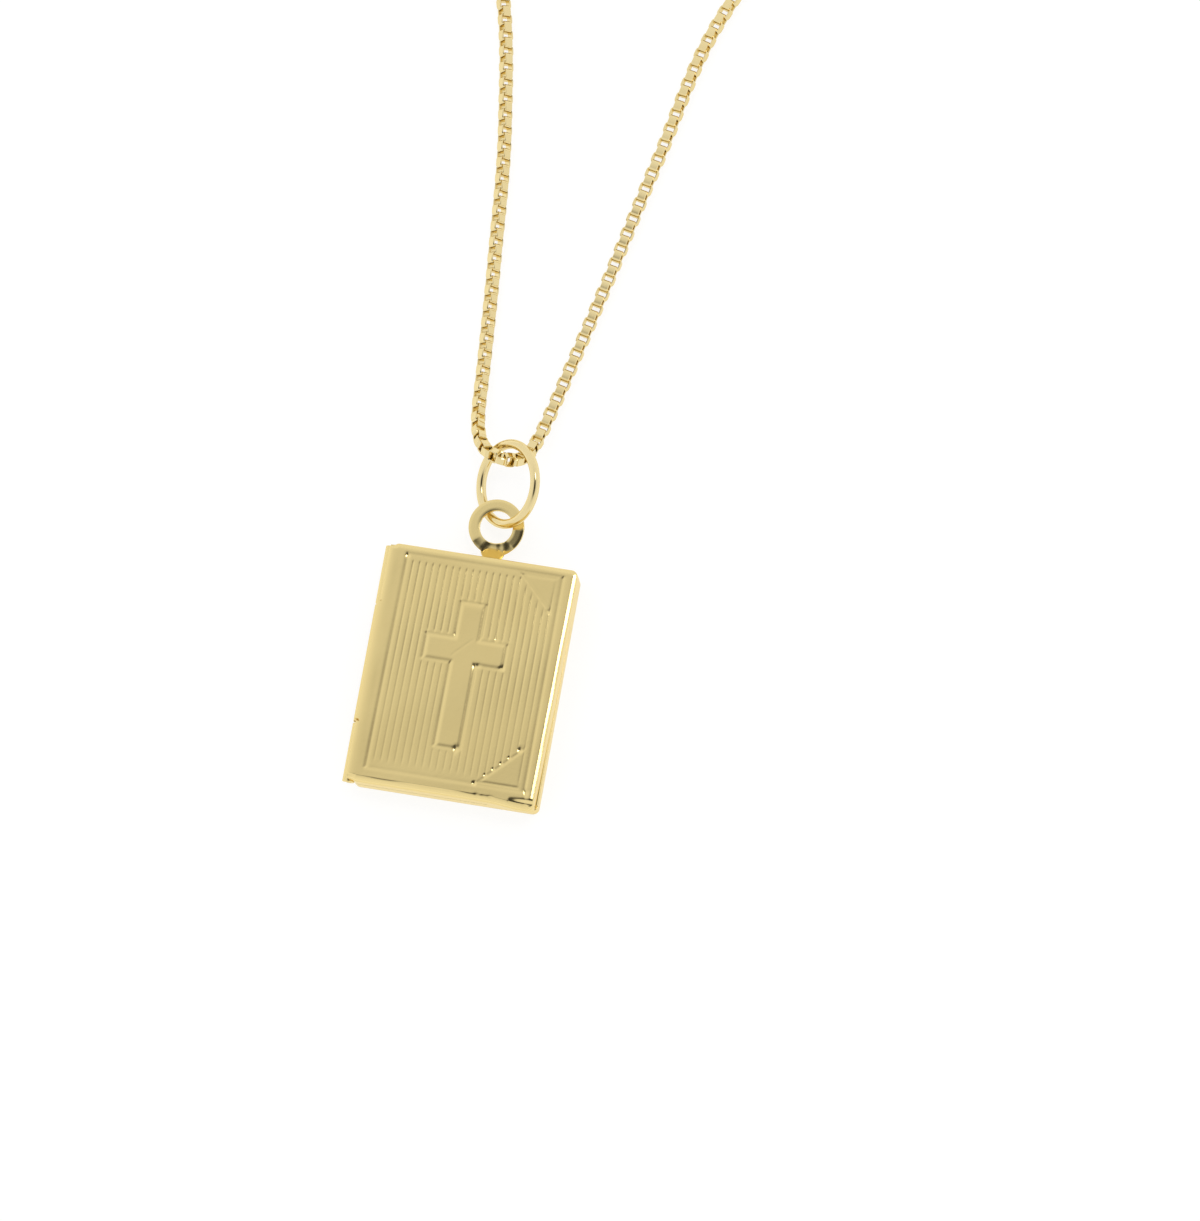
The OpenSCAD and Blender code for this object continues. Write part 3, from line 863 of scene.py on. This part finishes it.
def tab():
    """A ring of flat sheet with a stem that flares into it and is soldered to the wall."""
    plate, widest = tab_ring()
    wall = COVER_L / 2 - WALL_BITE
    for point in plate.data.vertices:
        rim = TAB_Y - sqrt(max(0.0, TAB_R ** 2 - (point.co.x - TAB_X) ** 2))
        if point.co.y < rim - 0.05 and abs(point.co.x - TAB_X) < widest + 0.01:
            share = min(1.0, (rim - point.co.y) / STEM_L)
            point.co.y = rim + (wall - rim) * share
            narrow = smooth_step(share / 0.75)
            point.co.x = TAB_X + (point.co.x - TAB_X) * float(1 + (STEM_W / 2 / widest - 1) * narrow)
    for point in plate.data.vertices:
        point.co.z = tab_height(point.co.x, point.co.y)
    only(plate)
    bpy.ops.object.mode_set(mode="EDIT")
    bpy.ops.mesh.select_all(action="SELECT")
    bpy.ops.mesh.subdivide(number_cuts=2)
    bpy.ops.mesh.normals_make_consistent(inside=False)
    bpy.ops.object.mode_set(mode="OBJECT")
    apply_modifier(plate, "SOLIDIFY", thickness=TAB_T, offset=0.0)
    bevel(plate, 0.09, 3)
    smooth(plate, 40)
    return plate


def jump_ring():
    """Round wire bent to a ring, its two ends nearly shut."""
    wire = {"vertices": 24, "radius": RING_WIRE_R, "fill_type": "NGON"}
    bpy.ops.mesh.primitive_circle_add(rotation=(pi / 2, 0, 0), location=(RING_R, 0, 0), **wire)
    ring = bpy.context.object
    bpy.ops.object.transform_apply(location=True, rotation=True)
    bpy.ops.object.mode_set(mode="EDIT")
    bpy.ops.mesh.select_all(action="SELECT")
    bpy.ops.mesh.spin(steps=120, angle=radians(RING_SPAN), center=(0, 0, 0), axis=(0, 0, 1), dupli=False)
    bpy.ops.mesh.select_all(action="SELECT")
    bpy.ops.mesh.remove_doubles(threshold=0.0005)
    bpy.ops.mesh.normals_make_consistent(inside=False)
    bpy.ops.object.mode_set(mode="OBJECT")
    height = RING_R * sin(radians(RING_TILT)) + RING_WIRE_R + RING_LIFT
    turn = Matrix.Rotation(radians(RING_TURN), 4, "Z") @ Matrix.Rotation(radians(-RING_TILT), 4, "Y")
    turn = turn @ Matrix.Rotation(radians(RING_START), 4, "Z")
    ring.data.transform(Matrix.Translation((*RING_AT, height)) @ turn)
    bevel(ring, 0.03, 2, 60)
    smooth(ring, 40)
    return ring


def torus(x, radius, wire_r, around, thin):
    """A round ring of wire that lies at the clasp's height, at a place across."""
    size = {"major_radius": radius, "minor_radius": wire_r, "major_segments": around, "minor_segments": thin}
    bpy.ops.mesh.primitive_torus_add(location=(x, CLASP_AT[1], CLASP_WIRE_R), **size)
    bpy.ops.object.transform_apply(location=True)
    return bpy.context.object


def clasp():
    """The closed clasp: a ring of wire with an eye on each side."""
    eye_out = CLASP_R + CLASP_WIRE_R + EYE_R - EYE_OVERLAP
    rings = [torus(CLASP_AT[0], CLASP_R, CLASP_WIRE_R, 64, 20)]
    rings += [torus(CLASP_AT[0] + side * eye_out, EYE_R, EYE_WIRE_R, 32, 12) for side in (-1, 1)]
    ring = joined(rings)
    smooth(ring, 60)
    return ring


# Box chain

def route_curve(samples=40):
    """Points close together along the smooth curve through the route."""
    p = np.array(CHAIN_ROUTE, float)
    ends = np.vstack([2 * p[0] - p[1], p, 2 * p[-1] - p[-2]])
    points = []
    for k in range(len(p) - 1):
        a, b, c, d = ends[k:k + 4]
        f = (np.arange(samples) / samples)[:, None]
        square, cube = 2 * a - 5 * b + 4 * c - d, 3 * b - a - 3 * c + d
        points.append(0.5 * (2 * b + (c - a) * f + square * f ** 2 + cube * f ** 3))
    return np.vstack(points + [p[-1:]])


def chain_roll(s, bend):
    """How the chain is rolled about its run, in degrees, at a distance from the bend at the ring."""
    return np.where(s < bend, np.interp(bend - s, *LEFT_ROLL), np.interp(s - bend, *RIGHT_ROLL))


def box_link():
    """One link: a square of flat strip with rounded corners."""
    bpy.ops.mesh.primitive_cube_add(size=1)
    link = bpy.context.object
    link.data.transform(Matrix.Diagonal((LINK_L - LINK_T, LINK_W - LINK_T, LINK_STRIP, 1)))
    delete_faces(link, lambda face: abs(face.normal.z) > 0.5)
    bevel(link, 0.22, 3)
    apply_modifier(link, "SOLIDIFY", thickness=LINK_T, offset=0.0)
    bevel(link, 0.05, 1, 60)
    smooth(link, 38)
    return link


def box_chain():
    """Links laid along the route, each a quarter turn from the last, fused into one piece."""
    curve = route_curve()
    steps = np.linalg.norm(np.diff(curve, axis=0), axis=1)
    length = np.concatenate([[0], np.cumsum(steps)])

    def on_curve(s):
        return Vector([np.interp(s, length, curve[:, c]) for c in range(3)])

    bend = length[np.argmin(curve[:, 1])]
    count = int((length[-1] - CHAIN_ENDS) / LINK_PITCH)
    first = (length[-1] - (count - 1) * LINK_PITCH) / 2
    template = box_link()
    links = []
    for k in range(count):
        s = first + k * LINK_PITCH
        run = (on_curve(s + HALF_RUN) - on_curve(s - HALF_RUN)).normalized()
        side = run.cross(Vector((0, 0, 1))).normalized()
        up = side.cross(run)
        roll = radians(float(chain_roll(s, bend)) + 90 * (k % 2))
        a = side * cos(roll) + up * sin(roll)
        b = run.cross(a)
        link = template.copy()
        link.data = template.data.copy()
        link.data.transform(Matrix.Translation(on_curve(s)) @ Matrix((run, a, b)).transposed().to_4x4())
        bpy.context.scene.collection.objects.link(link)
        links.append(link)
    bpy.data.objects.remove(template)
    return joined(links)


# Build

set_camera()
set_light()
set_floor()

LOCKET_GOLD = polished_gold("gold-filled brass sheet, polished", "#ECD799", "#E8D191", 0.14, 0.35, 0.15)
WIRE_GOLD = polished_gold("gold-filled brass wire, polished", "#EBDAA6", "#E4CF98", 0.12, 0.3, 0.2)
LOCKET, CHAIN = ("locket_gold", LOCKET_GOLD), ("chain_gold", WIRE_GOLD)

front_sheet = pressed_cover(FRONT_RIGHT, True, FRONT_KNUCKLES, True)
finish_piece(front_sheet, "front_cover_sheet", "front", *LOCKET, "front_cover")
finish_piece(knuckles(FRONT_KNUCKLES, True), "front_cover_knuckles", "front", *LOCKET, "front_cover")
back_sheet = pressed_cover(BACK_RIGHT, False, BACK_KNUCKLES, False, HEM_DROP)
finish_piece(back_sheet, "back_cover_sheet", "back", *LOCKET, "back_cover")
finish_piece(catch_hem(), "back_cover_hem", "back", *LOCKET, "back_cover")
finish_piece(knuckles(BACK_KNUCKLES, False), "back_cover_knuckles", "back", *LOCKET, "back_cover")
finish_piece(tab(), "tab_plate", "back", *LOCKET, "back_cover")
finish_piece(hinge_pin(), "hinge_pin_rod", "back", *LOCKET, "hinge_pin")
finish_piece(jump_ring(), "jump_ring_wire", "back", *CHAIN, "jump_ring")
finish_piece(box_chain(), "box_chain", "back", *CHAIN, "chain")
finish_piece(clasp(), "clasp_ring", "back", *CHAIN, "clasp")
